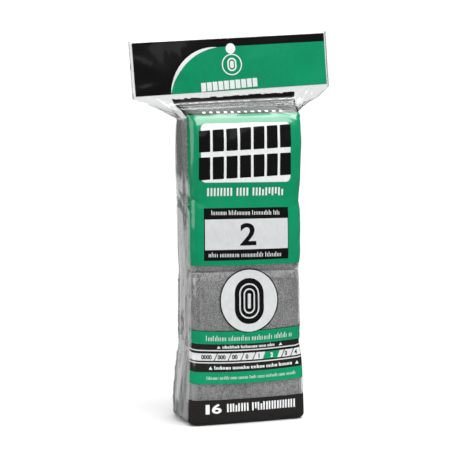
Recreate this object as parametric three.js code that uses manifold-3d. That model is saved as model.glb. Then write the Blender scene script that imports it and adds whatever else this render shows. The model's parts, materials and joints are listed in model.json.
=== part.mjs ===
// A retail pack of steel wool pads, in millimetres, +Z up.
//
// The pack stands on its flat bottom. The front, with the clear windows, looks
// along -Y, and X runs from left to right. The origin is the middle of the
// bottom. One bag of clear film holds four tiers of pads, four pads deep. The
// film gathers over the top tier into a flat sealed header with a hang hole.

import * as THREE from 'three';
import { mergeVertices } from 'three/addons/utils/BufferGeometryUtils.js';
import Module from 'manifold-3d';

// Stack: four tiers high and four rows deep, with a little air between the pads.
const TIERS = 4;
const ROWS = 4;
const TIER_PITCH = 66.4;
const STACK_FLOOR = 0.8;
const PAD_CLEARANCE = 0.35;

// Pads: a ribbon of steel wool rolled flat, three laps thick. The lower tiers are
// pressed less by the film, so their pads are a little thicker.
const PAD_LENGTH = 101;
const PAD_HEIGHT = 66;
const LAP_GAP = 0.3;
const PAD_END_TAPER = 5;
const PAD_END_THIN = 0.58;
const PAD_END_SHORT = 0.94;

// Bag body: the film is drawn in a little between tiers and flares towards the foot.
const FILM = 0.45;
const BODY_HALF_WIDTH = 53.2;
const BODY_HALF_DEPTH = 24.4;
const BODY_CORNER = 7;
const WIDTH_FLARE = 1.2;
const DEPTH_FLARE = 3.2;
const FLARE_TOP = 3 * TIER_PITCH;
const WAIST_INSET = 0.6;
const FOOT_INSET = 3.4;
const FOOT_RISE = 5;

// Shoulders and header: the header is heat sealed flat, and hangs a little askew.
const CREST_HEIGHT = 268.6;
const CREST_LEAN = 0.35;
const SEAL_HEIGHT = 289.5;
const HEADER_HALF_WIDTH = 92;
const HEADER_HEIGHT = 49;
const HEADER_HALF_THICKNESS = 0.45;
const HEADER_ROLL = THREE.MathUtils.degToRad(4.4);
const HEADER_SHIFT = -4.5;

// Holes through the film.
const HANG_HOLE_RADIUS = 4.5;
const HANG_HOLE_ABOVE_SEAL = 38.5;
const VENT_RADIUS = 2.5;
const VENT_X = 30;
const VENT_Z = 235;
const HOLE_SIDES = 24;

const wasm = await Module();
wasm.setup();

const filmMaterial = new THREE.MeshStandardMaterial({
  color: 0xe6ebea,
  roughness: 0.18,
  metalness: 0,
  transparent: true,
  opacity: 0.35,
});
const woolMaterial = new THREE.MeshStandardMaterial({
  color: 0x777775,
  roughness: 0.55,
  metalness: 0.7,
});

// Closed meshes to manifold solids and back.
function toSolid(geometry) {
  const bare = geometry.clone();
  bare.deleteAttribute('normal');
  bare.deleteAttribute('uv');
  const merged = mergeVertices(bare);
  return new wasm.Manifold(new wasm.Mesh({
    numProp: 3,
    vertProperties: new Float32Array(merged.attributes.position.array),
    triVerts: new Uint32Array(merged.index.array),
  }));
}

function toGeometry(solid) {
  const mesh = solid.getMesh();
  const geometry = new THREE.BufferGeometry();
  geometry.setAttribute('position', new THREE.Float32BufferAttribute(mesh.vertProperties, 3));
  geometry.setIndex(Array.from(mesh.triVerts));
  geometry.computeVertexNormals();
  return geometry;
}

// A skin through rings that all have the same number of points, capped flat at both ends.
function loft(rings) {
  const count = rings[0].length;
  const positions = rings.flat().flatMap((point) => point.toArray());
  const faces = [];
  for (let level = 0; level + 1 < rings.length; level += 1) {
    for (let i = 0; i < count; i += 1) {
      const low = level * count + i;
      const lowNext = level * count + ((i + 1) % count);
      faces.push(low, lowNext, lowNext + count);
      faces.push(low, lowNext + count, low + count);
    }
  }
  const top = (rings.length - 1) * count;
  for (let i = 1; i + 1 < count; i += 1) {
    faces.push(0, i + 1, i);
    faces.push(top, top + i, top + i + 1);
  }
  const geometry = new THREE.BufferGeometry();
  geometry.setAttribute('position', new THREE.Float32BufferAttribute(positions, 3));
  geometry.setIndex(faces);
  geometry.computeVertexNormals();
  return geometry;
}

// A rounded rectangle, counterclockwise from above, with its long sides divided.
function bagOutline(halfWidth, halfDepth, corner) {
  const cornerSteps = 4;
  const sideSteps = 6;
  const points = [];
  const corners = [
    [halfWidth - corner, halfDepth - corner, 0],
    [corner - halfWidth, halfDepth - corner, 1],
    [corner - halfWidth, corner - halfDepth, 2],
    [halfWidth - corner, corner - halfDepth, 3],
  ];
  for (const [x, y, quarter] of corners) {
    for (let i = 0; i <= cornerSteps; i += 1) {
      const angle = (quarter + i / cornerSteps) * Math.PI / 2;
      points.push([x + corner * Math.cos(angle), y + corner * Math.sin(angle)]);
    }
    if (quarter % 2 === 0) {
      const end = points[points.length - 1];
      const run = 2 * (halfWidth - corner) * (quarter === 0 ? -1 : 1);
      for (let i = 1; i < sideSteps; i += 1) {
        points.push([end[0] + run * i / sideSteps, end[1]]);
      }
    }
  }
  return points;
}

// One ring of the bag. roll and shift run from 0 on the body to the header's own.
// The film's thickness is taken off when inset is set.
function bagRing({ z, halfWidth, halfDepth, corner, roll = 0, shift = 0 }, inset = 0) {
  const outline = bagOutline(halfWidth - inset, halfDepth - inset, corner - inset);
  return outline.map(([x, y]) => {
    const point = new THREE.Vector3(x, y, 0);
    point.applyAxisAngle(new THREE.Vector3(0, 1, 0), -roll);
    return point.add(new THREE.Vector3(shift, 0, z));
  });
}

// The body's half width and half depth at a height, before any inset.
function bodySize(z) {
  const flare = Math.max(0, 1 - z / FLARE_TOP);
  return {
    halfWidth: BODY_HALF_WIDTH + WIDTH_FLARE * flare,
    halfDepth: BODY_HALF_DEPTH + DEPTH_FLARE * flare,
  };
}

// The bag's levels from the bottom to the start of the shoulders.
function bodyLevels() {
  const levels = [
    { z: 0, inset: FOOT_INSET },
    { z: FOOT_RISE * 0.25, inset: FOOT_INSET * 0.4 },
    { z: FOOT_RISE, inset: 0 },
  ];
  for (let tier = 0; tier < TIERS; tier += 1) {
    const base = STACK_FLOOR + tier * TIER_PITCH;
    levels.push({ z: base + TIER_PITCH / 2, inset: 0 });
    if (tier + 1 < TIERS) {
      levels.push({ z: base + TIER_PITCH, inset: WAIST_INSET });
    }
  }
  return levels.map(({ z, inset }) => {
    const { halfWidth, halfDepth } = bodySize(z);
    return { z, halfWidth: halfWidth - inset, halfDepth: halfDepth - inset, corner: BODY_CORNER };
  });
}

// The shoulders close from the body's outline to the header's, straight up a gable.
function shoulderLevel(rise) {
  return {
    z: THREE.MathUtils.lerp(CREST_HEIGHT, SEAL_HEIGHT, rise),
    halfWidth: THREE.MathUtils.lerp(BODY_HALF_WIDTH, HEADER_HALF_WIDTH, rise),
    halfDepth: THREE.MathUtils.lerp(BODY_HALF_DEPTH - 1, HEADER_HALF_THICKNESS, rise),
    corner: THREE.MathUtils.lerp(BODY_CORNER, HEADER_HALF_THICKNESS * 0.8, rise),
    roll: HEADER_ROLL * THREE.MathUtils.lerp(CREST_LEAN, 1, rise),
    shift: HEADER_SHIFT * rise,
  };
}

const crestLevel = {
  z: CREST_HEIGHT - 3,
  halfWidth: BODY_HALF_WIDTH,
  halfDepth: BODY_HALF_DEPTH,
  corner: BODY_CORNER,
};
const shoulderLevels = [0, 0.3, 0.6, 0.9].map(shoulderLevel);

// The header stands square on the seal line, so its top is shifted by the roll too.
function onHeader(x, up) {
  return {
    x: HEADER_SHIFT + x * Math.cos(HEADER_ROLL) - up * Math.sin(HEADER_ROLL),
    z: SEAL_HEIGHT + x * Math.sin(HEADER_ROLL) + up * Math.cos(HEADER_ROLL),
  };
}

const sealLevel = shoulderLevel(1);
const headerTop = onHeader(0, HEADER_HEIGHT);
const headerLevels = [sealLevel, { ...sealLevel, z: headerTop.z, shift: headerTop.x }];

// A round cutter along Y.
function cylinderAlongY(x, y, z, radius, length) {
  const geometry = new THREE.CylinderGeometry(radius, radius, length, HOLE_SIDES);
  geometry.translate(x, y, z);
  return toSolid(geometry);
}

// The film bag: the outer skin less the space inside, the hang hole and the vent.
function makeBag() {
  const outerLevels = [...bodyLevels(), crestLevel, ...shoulderLevels, ...headerLevels];
  const innerBody = bodyLevels();
  innerBody[0].z += FILM;
  const innerLevels = [...innerBody, crestLevel, ...shoulderLevels];
  const outer = toSolid(loft(outerLevels.map((level) => bagRing(level))));
  const inner = toSolid(loft(innerLevels.map((level) => bagRing(level, FILM))));
  const hole = onHeader(0, HANG_HOLE_ABOVE_SEAL);
  const hang = cylinderAlongY(hole.x, 0, hole.z, HANG_HOLE_RADIUS, 8);
  const vent = cylinderAlongY(VENT_X, BODY_HALF_DEPTH, VENT_Z, VENT_RADIUS, 8);
  const solid = outer.subtract(inner).subtract(hang).subtract(vent);
  return new THREE.Mesh(toGeometry(solid), filmMaterial);
}

// The pad's section: the ribbon runs up the middle, over the top, down the front,
// under the bottom and up the back, where its end lies.
function padSection(thickness) {
  const lap = (thickness - 2 * LAP_GAP) / 3;
  const pitch = lap + LAP_GAP;
  const half = lap / 2;
  const top = PAD_HEIGHT / 2 - pitch / 2 - half;
  const bottom = -PAD_HEIGHT / 2 + pitch + half;
  const shape = new THREE.Shape();
  shape.moveTo(half, bottom);
  shape.lineTo(half, top);
  shape.absarc(-pitch / 2, top, pitch / 2 + half, 0, Math.PI, false);
  shape.lineTo(-pitch - half, bottom);
  shape.absarc(0, bottom, pitch + half, Math.PI, 2 * Math.PI, false);
  shape.lineTo(pitch + half, top);
  shape.absarc(pitch, top, half, 0, Math.PI, false);
  shape.lineTo(pitch - half, bottom);
  shape.absarc(0, bottom, pitch - half, 0, -Math.PI, true);
  shape.lineTo(half - pitch, top);
  shape.absarc(-pitch / 2, top, pitch / 2 - half, Math.PI, 0, true);
  shape.lineTo(-half, bottom);
  return shape;
}

// The section is drawn through the pad's length, and its ends are pressed thinner.
function padGeometry(thickness) {
  const steps = 3;
  const geometry = new THREE.ExtrudeGeometry(padSection(thickness), {
    depth: steps,
    steps,
    bevelEnabled: false,
    curveSegments: 6,
  });
  const stations = [0, PAD_END_TAPER, PAD_LENGTH - PAD_END_TAPER, PAD_LENGTH];
  const position = geometry.attributes.position;
  for (let i = 0; i < position.count; i += 1) {
    const step = Math.round(position.getZ(i));
    const atEnd = step === 0 || step === steps;
    const y = position.getX(i) * (atEnd ? PAD_END_THIN : 1);
    const z = position.getY(i) * (atEnd ? PAD_END_SHORT : 1);
    position.setXYZ(i, stations[step] - PAD_LENGTH / 2, y, z);
  }
  return geometry;
}

export const pack = new THREE.Group();

const bag = makeBag();
bag.name = 'film_bag';
pack.add(bag);

// The pads of a tier share the bag's inner depth at the waist above them.
for (let tier = 0; tier < TIERS; tier += 1) {
  const waist = bodySize(STACK_FLOOR + (tier + 1) * TIER_PITCH);
  const room = 2 * (waist.halfDepth - WAIST_INSET - FILM);
  const rowPitch = (room - PAD_CLEARANCE) / ROWS;
  for (let row = 0; row < ROWS; row += 1) {
    const pad = new THREE.Mesh(padGeometry(rowPitch - PAD_CLEARANCE), woolMaterial);
    pad.name = `wool_pad_tier${tier + 1}_row${row + 1}`;
    pad.position.y = (row - (ROWS - 1) / 2) * rowPitch;
    pad.position.z = STACK_FLOOR + tier * TIER_PITCH + PAD_HEIGHT / 2;
    pack.add(pad);
  }
}

export default pack;
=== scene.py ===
import json
import math

import bmesh
import bpy
import numpy as np
from bpy.props import FloatProperty, FloatVectorProperty, IntProperty, PointerProperty
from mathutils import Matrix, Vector

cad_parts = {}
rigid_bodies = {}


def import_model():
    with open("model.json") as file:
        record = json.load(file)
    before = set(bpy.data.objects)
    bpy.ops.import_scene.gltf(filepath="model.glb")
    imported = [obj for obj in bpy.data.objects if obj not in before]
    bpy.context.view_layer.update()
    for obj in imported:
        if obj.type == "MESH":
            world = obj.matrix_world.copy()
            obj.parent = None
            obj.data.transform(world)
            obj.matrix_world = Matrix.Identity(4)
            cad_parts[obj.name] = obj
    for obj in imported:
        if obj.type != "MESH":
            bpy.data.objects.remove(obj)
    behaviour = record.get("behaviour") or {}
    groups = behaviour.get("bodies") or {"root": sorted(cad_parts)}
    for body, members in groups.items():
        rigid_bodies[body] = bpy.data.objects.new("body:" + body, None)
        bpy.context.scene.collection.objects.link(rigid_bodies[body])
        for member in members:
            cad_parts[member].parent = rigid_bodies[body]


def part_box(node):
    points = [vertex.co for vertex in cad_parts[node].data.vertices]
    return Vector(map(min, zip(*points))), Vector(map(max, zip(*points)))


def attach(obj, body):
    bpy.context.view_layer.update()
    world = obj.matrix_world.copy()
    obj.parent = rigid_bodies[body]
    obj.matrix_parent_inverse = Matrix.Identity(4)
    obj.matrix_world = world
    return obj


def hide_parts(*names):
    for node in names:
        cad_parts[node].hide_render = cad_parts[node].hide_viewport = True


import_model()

bl_info = {
    "name": "Steel Wool Pad Pack",
    "version": (1, 0, 0),
    "blender": (4, 5, 0),
    "location": "View3D > Sidebar > Pad Pack",
    "description": "Builds a clear film bag of steel wool pads with printed panels",
    "category": "Object",
}

# Lengths in this file are millimetres until a mesh is made, where they are multiplied by MM.
MM = 0.001
FIRST_PAD_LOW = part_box("wool_pad_tier1_row1")[0]
SECOND_PAD_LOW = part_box("wool_pad_tier2_row1")[0]

# The stack of pads, from the frame.
TIERS = 4
ROWS = 4
TIER_PITCH = (SECOND_PAD_LOW.z - FIRST_PAD_LOW.z) / MM
STACK_FLOOR = FIRST_PAD_LOW.z / MM

# The bag, as its solid is laid out: a body, a gable of shoulders, and a flat header.
BODY_HALF_WIDTH = 53.2
BODY_HALF_DEPTH = 24.4
WIDTH_FLARE = 1.2
DEPTH_FLARE = 3.2
FLARE_TOP = 3 * TIER_PITCH
FOOT_RADIUS = 5.0
CREST_HEIGHT = 268.6
CREST_LEAN = 0.35
SEAL_HEIGHT = 289.5
HEADER_HEIGHT = 49.0
HEADER_HALF_WIDTH = 92.0
HEADER_ROLL = math.radians(4.4)
HEADER_SHIFT = -4.5
HOLE_RADIUS = 4.5
HOLE_ABOVE_SEAL = 38.5

# The film. Its grid's columns follow the film round, and its rows follow it up. Half of the film
# reaches from the front's middle to the back's, round one side.
FLAT_HALF = 2 * HEADER_HALF_WIDTH
GRID_HALF = 60.0  # the part of the front and of the back that has fine columns
PRINT_HALF = 58.5  # where print ends on the front
FRONT_CORNER = 7.0
BACK_CORNER = 9.0
FOOT_FLARE = 2.6
CREST_START = 254.0
CREST_RADIUS = 21.0
NECK_DROP = 7.4
NECK_RADIUS = 2.5
PLY_STEP = 0.32
HEADER_PLY = 0.28
SIDE_COLUMNS = 9
PLY_COLUMNS = 7
ROW_STEP = 2.15
FILM_SOLE = 0.12  # how high the film's middle lies under the pads

# Zones in which one look of the film gives way to another: on the film, round it from the front's
# middle, and on the clear sides, from front to back.
FACE_EDGE = (50, 58)
SIDE_SWAY = (57, 68)
SIDE_WRINKLES = (58, 70)
BEHIND_PRINT = (-18.0, -4.0)

FRONT_COLUMNS = np.concatenate([np.arange(0, 44, 2.2), np.arange(44, GRID_HALF + 0.01, 16 / 13)])

# How the film strays from the solid: heights, and what is added to half its width and depth.
OUTLINE_HEIGHTS = (0.0, 20.0, 45.0, 75.0, 110.0, 150.0, 190.0, 215.0, 240.0, 265.0)
WIDTH_CHANGES = (-0.6, -0.9, -1.9, -3.3, -3.4, -2.6, -2.3, -1.6, -1.2, -1.4)
DEPTH_CHANGES = (2.4, 2.2, 1.2, 0.4, 0.2, 0.3, 0.2, 0.5, 0.6, 0.3)

# Creases in the body's film and soft dents in the header, each a place on the film, a turn in
# degrees, a length, a width and a depth.
CREASES = (
    ((-76, 197), -25, 62, 1.1, 0.95), ((-78, 192), -28, 52, 1.3, -0.8), ((-76, 76), -27, 58, 1.1, 0.95),
    ((-78, 70), -30, 50, 1.4, -0.9), ((-94, 114), 88, 84, 1.0, 0.8), ((-70, 128), 70, 60, 1.6, -0.6),
    ((-66, 40), 82, 60, 1.2, 0.7), ((-84, 36), 96, 56, 1.6, -0.7), ((-62, 238), 84, 50, 1.4, 0.6),
    ((-74, 246), 96, 44, 1.4, -0.6), ((54, 196), 30, 26, 1.4, -0.7), ((52, 70), 35, 30, 1.3, -0.8),
    ((50, 74), 38, 26, 1.0, 0.6), ((-58, 131), 45, 26, 1.3, -0.9), ((-56, 112), -25, 24, 1.4, -0.7),
    ((-51, 124), -32, 18, 0.9, 0.5), ((47, 272), -28, 26, 1.6, 0.9), ((52, 277), -40, 22, 1.3, -0.9),
    ((43, 279), -12, 22, 1.2, 0.7), ((38, 268), -20, 24, 1.8, 0.5), ((-50, 196), -30, 22, 1.2, -0.6),
    ((45, 190), 12, 30, 2.6, -0.5), ((46, 84), 24, 24, 1.4, 0.5),
)
DENTS = (
    ((-64, 322), 100, 50, 7.0, 0.9), ((-58, 309), 40, 34, 4.0, -0.7), ((-76, 309), 12, 30, 4.0, 0.7),
    ((-80, 328), 140, 30, 4.5, 0.6), ((-46, 330), 100, 34, 5.2, 0.5), ((52, 322), 84, 50, 6.0, 0.5),
    ((70, 316), 70, 40, 5.6, -0.45), ((28, 330), 20, 40, 6.0, 0.35),
)

# The grid of a pad: points up a face and round an edge, stations along it and rings on an end.
FINE_PAD = (44, 11, 66, 11)
PLAIN_PAD = (20, 8, 30, 8)
FILM_GAP = 0.75  # between the film and a pad that shows
TOP_FIBRES = 170  # loose fibres on the top edge of each pad in the top tier

# Ink lies this far off the film, and each layer of it this much farther.
INK_LIFT = 0.09
LAYER_LIFT = 0.045

# Roughness of each ink.
INK_GLOSS = {"green": 0.22, "black": 0.2, "thin_black": 0.2, "white": 0.3, "pale": 0.3}

# The even row of plain blocks on the header: how many, how wide, how tall and the gap.
HEADER_BLOCKS = (10, 4.4, 7.6, 0.95)

# The figures on the scale of grades: text, middle and width.
GRADES = (("0000", -38.7, 9.6), ("000", -25.0, 7.2), ("00", -12.9, 5.0), ("0", -1.7, 2.5),
          ("1", 9.6, 0.9), ("3", 35.0, 2.2), ("4", 44.4, 2.5))

WHITE = (1.0, 1.0, 1.0, 1.0)
PACK_MIDDLE = Vector((0.0, 0.0, 0.17))


# ---------------------------------------------------------------- small tools
def deselect():
    for found in bpy.context.selected_objects:
        found.select_set(False)


def choose(piece):
    """Adds a piece to the selection and makes it the active one."""
    piece.select_set(True)
    bpy.context.view_layer.objects.active = piece


def activate(piece):
    deselect()
    choose(piece)


def unit(vectors, least=1e-9):
    """Vectors along the last axis, drawn to a length of one."""
    return vectors / np.maximum(np.linalg.norm(vectors, axis=-1, keepdims=True), least)


def smoothstep(value, low, high):
    share = np.clip((value - low) / (high - low), 0.0, 1.0)
    return share * share * (3.0 - 2.0 * share)


def waves(rng, count, short, long):
    """A smooth random field of two coordinates, about -1 to 1: plane waves at random angles."""
    lengths = rng.uniform(short, long, count)
    angles = rng.uniform(0.0, math.pi, count)
    phases = rng.uniform(0.0, 2.0 * math.pi, count)

    def field(across, up):
        total = np.zeros(np.broadcast(across, up).shape)
        for length, angle, phase in zip(lengths, angles, phases):
            along = across * math.cos(angle) + up * math.sin(angle)
            total += np.sin(along * 2 * math.pi / length + phase)
        return total / math.sqrt(count)

    return field


def crease(across, up, at, angle, length, width, depth):
    """A straight crease that fades at both ends and to both sides."""
    slant = math.radians(angle)
    along = (across - at[0]) * math.cos(slant) + (up - at[1]) * math.sin(slant)
    aside = -(across - at[0]) * math.sin(slant) + (up - at[1]) * math.cos(slant)
    fade = np.clip(1.0 - (along / (0.5 * length)) ** 2, 0.0, 1.0)
    return depth * fade * np.exp(-((aside / width) ** 2))


def filleted(points, radii, step):
    """A flat line through points whose inner corners are rounded, in steps of about one length."""
    made = [np.array(points[0], float)]
    for before, corner, after, radius in zip(points[:-2], points[1:-1], points[2:], radii):
        corner = np.array(corner, float)
        back = np.array(before, float) - corner
        forth = np.array(after, float) - corner
        back /= np.linalg.norm(back)
        forth /= np.linalg.norm(forth)
        half = math.acos(np.clip(back @ forth, -1, 1)) / 2
        reach = radius / math.tan(half)
        middle = corner + (back + forth) / np.linalg.norm(back + forth) * radius / math.sin(half)
        start = corner + back * reach - middle
        end = corner + forth * reach - middle
        sweep = math.pi - 2 * half
        count = max(3, int(sweep * radius / step) + 1)
        for i in range(count + 1):
            share = i / count
            mixed = start * math.sin((1 - share) * sweep) + end * math.sin(share * sweep)
            made.append(middle + mixed / math.sin(sweep))
    made.append(np.array(points[-1], float))
    made = np.array(made)
    lengths = np.concatenate([[0.0], np.cumsum(np.linalg.norm(np.diff(made, axis=0), axis=1))])
    stops = np.linspace(0.0, lengths[-1], max(2, int(round(lengths[-1] / step)) + 1))
    return np.stack([np.interp(stops, lengths, made[:, i]) for i in range(made.shape[1])], 1), stops


def mesh_piece(name, points, faces, smooth=True):
    """An object from points in millimetres and faces, at the origin."""
    mesh = bpy.data.meshes.new(name)
    mesh.from_pydata((np.asarray(points) * MM).tolist(), [], faces)
    mesh.update()
    mesh.polygons.foreach_set("use_smooth", np.full(len(mesh.polygons), smooth))
    piece = bpy.data.objects.new(name, mesh)
    bpy.context.scene.collection.objects.link(piece)
    return piece


# ---------------------------------------------------------------- the film's surface
def body_size(z):
    """Half the body's width and depth at a height, with a waist between tiers."""
    flare = np.clip(1 - z / FLARE_TOP, 0, 1)
    waist = sum(np.exp(-(((z - STACK_FLOOR - k * TIER_PITCH) / 10.0) ** 2)) for k in range(1, TIERS))
    width = BODY_HALF_WIDTH + WIDTH_FLARE * flare - 0.7 * waist
    depth = BODY_HALF_DEPTH + DEPTH_FLARE * flare - 0.55 * waist
    return (
        width + np.interp(z, OUTLINE_HEIGHTS, WIDTH_CHANGES),
        depth + np.interp(z, OUTLINE_HEIGHTS, DEPTH_CHANGES),
    )


def foot_flare(z):
    """How far the loose film and the pads behind it spread at the left foot."""
    return FOOT_FLARE * np.exp(-(((z - 8) / 44) ** 2))


def half_section(z, pleat_at, inset=0.0):
    """One half of the body's section at a height, from the front's middle round the side.

    The film that the body doesn't need lies in a pleat that is folded back on the side.
    """
    half_width, half_depth = body_size(z)
    half_width -= inset
    half_depth -= inset

    def walk(corner, distance):
        """Points on a face, its corner and the side, at distances from the face's middle."""
        flat = half_width - corner
        turn = np.clip((distance - flat) / corner, 0, math.pi / 2)
        x = np.minimum(distance, flat) + corner * np.sin(turn)
        side = np.maximum(distance - flat - corner * math.pi / 2, 0)
        return x, -half_depth + corner * (1 - np.cos(turn)) + side

    def reach(corner):
        """Film from a face's middle to the side's middle."""
        return half_width - corner + corner * math.pi / 2 + (half_depth - corner)

    front_length = reach(FRONT_CORNER) + pleat_at
    back_length = reach(BACK_CORNER) - pleat_at
    pleat = max(1.0, (FLAT_HALF - front_length - back_length) / 2)
    front = np.concatenate([FRONT_COLUMNS, np.linspace(GRID_HALF, front_length, SIDE_COLUMNS + 1)[1:]])
    back = np.linspace(back_length, GRID_HALF, SIDE_COLUMNS + 1)[1:]
    back = np.concatenate([back, FRONT_COLUMNS[::-1][1:]])
    x1, y1 = walk(FRONT_CORNER, front)
    x1 = x1 + 2 * PLY_STEP * smoothstep(y1, pleat_at - 10, pleat_at)
    out = np.linspace(0, 1, PLY_COLUMNS + 1)[1:]
    x4, y4 = walk(BACK_CORNER, back)
    along = np.concatenate([front, front_length + pleat * out])
    return (
        np.concatenate([
            x1, np.full_like(out, half_width + 2 * PLY_STEP), np.full_like(out, half_width + PLY_STEP), x4]),
        np.concatenate([y1, pleat_at + pleat * out, pleat_at + pleat * (1 - out), -y4]),
        np.concatenate([along, along[-1] + pleat * out, FLAT_HALF - back]),
    )


def film_rows():
    """The film's rows: (kind, height, depth share or inset, film height), and the seal's film height."""
    rows = [("under", 0.0, share, -(1 - share) * BODY_HALF_DEPTH - 2)
            for share in (0.0, 0.2, 0.4, 0.6, 0.8, 0.93)]
    foot_steps = 6
    for i in range(foot_steps):
        turn = i / foot_steps * math.pi / 2
        film = FOOT_RADIUS * (turn / (math.pi / 2)) * math.pi / 2 - FOOT_RADIUS * (math.pi / 2 - 1)
        rows.append(("foot", FOOT_RADIUS * (1 - math.cos(turn)), FOOT_RADIUS * (1 - math.sin(turn)), film))
    rows += [("body", z, 0.0, z) for z in np.arange(FOOT_RADIUS, CREST_START, ROW_STEP)]
    above_seal = 6
    gable, stops = filleted(
        [(BODY_HALF_DEPTH, CREST_START), (BODY_HALF_DEPTH, CREST_HEIGHT), (0.0, SEAL_HEIGHT - NECK_DROP),
         (0.0, SEAL_HEIGHT + above_seal)],
        [CREST_RADIUS, NECK_RADIUS], 1.05)
    for (depth, z), stop in zip(gable, stops):
        rows.append(("gable", z, depth / BODY_HALF_DEPTH, CREST_START + stop))
    seal_film = CREST_START + stops[-1] - above_seal
    for up in np.linspace(above_seal, HEADER_HEIGHT, 22)[1:]:
        rows.append(("header", SEAL_HEIGHT + up, 0.0, seal_film + up))
    return rows, seal_film


ROW_LIST, SEAL_FILM = film_rows()


def film_surface():
    """The film's points and film coordinates: arrays of rows by columns by three and by two."""
    rng = np.random.default_rng(11)
    drift, ripple, tall = [
        {side: waves(rng, *sizes) for side in (1, -1)} for sizes in ((3, 60, 160), (4, 9, 26), (4, 30, 90))]
    halves = {}
    for side in (1, -1):
        made = []
        for kind, z, depth, film in ROW_LIST:
            settle = float(smoothstep(z, CREST_START - 60, CREST_START))
            pleat_at = (-4.0 + 2.5 * float(drift[side](0.0, z))) * (1 - settle)
            inset = {"foot": depth, "under": FOOT_RADIUS}.get(kind, 0.0)
            x, y, u = half_section(min(z, CREST_START), pleat_at, inset)
            # soft ripples on the clear sides, which run mostly up and down
            on_side = smoothstep(u, *SIDE_SWAY) * smoothstep(FLAT_HALF - u, *SIDE_SWAY)
            sway = ripple[side](y, z * 0.16) * 0.36 + tall[side](y * 0.5, z) * 0.3
            if kind == "body":
                loose = foot_flare(z) if side < 0 else 0.4
                behind = smoothstep(y, *BEHIND_PRINT)
                x = x + on_side * (sway * smoothstep(z, 2, 20) + loose * behind)
            if kind == "under":
                y = y * max(depth, 0.008)
                x = x * (0.97 + 0.03 * depth)
                z = FILM_SOLE + 0.25 * (1 - depth)
            if kind in ("gable", "header"):
                climbed = (z - CREST_HEIGHT + 1.0) / (SEAL_HEIGHT - CREST_HEIGHT + 1.0)
                spread = float(np.clip(climbed, 0, 1)) if kind == "gable" else 1.0
                fold = u[len(u) // 2]
                flat_x = np.where(u <= fold, u * HEADER_HALF_WIDTH / fold,
                                  (FLAT_HALF - u) * HEADER_HALF_WIDTH / (FLAT_HALF - fold))
                x = (x + on_side * sway * (1 - spread)) * (1 - spread) + flat_x * spread
                ply = np.where(u < fold, -HEADER_PLY, HEADER_PLY) * np.clip(HEADER_HALF_WIDTH - flat_x, 0, 1)
                y = y * depth + ply * (1 - depth)
            made.append(np.stack([x * side, y, np.full_like(x, z), u * side, np.full_like(x, film)], -1))
        halves[side] = np.array(made)
    ring = np.concatenate([halves[1], halves[-1][:, 1:-1][:, ::-1]], 1)
    flat = ring[..., 3:]
    return leaned(wrinkled(ring[..., :3], flat), flat), flat


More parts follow.
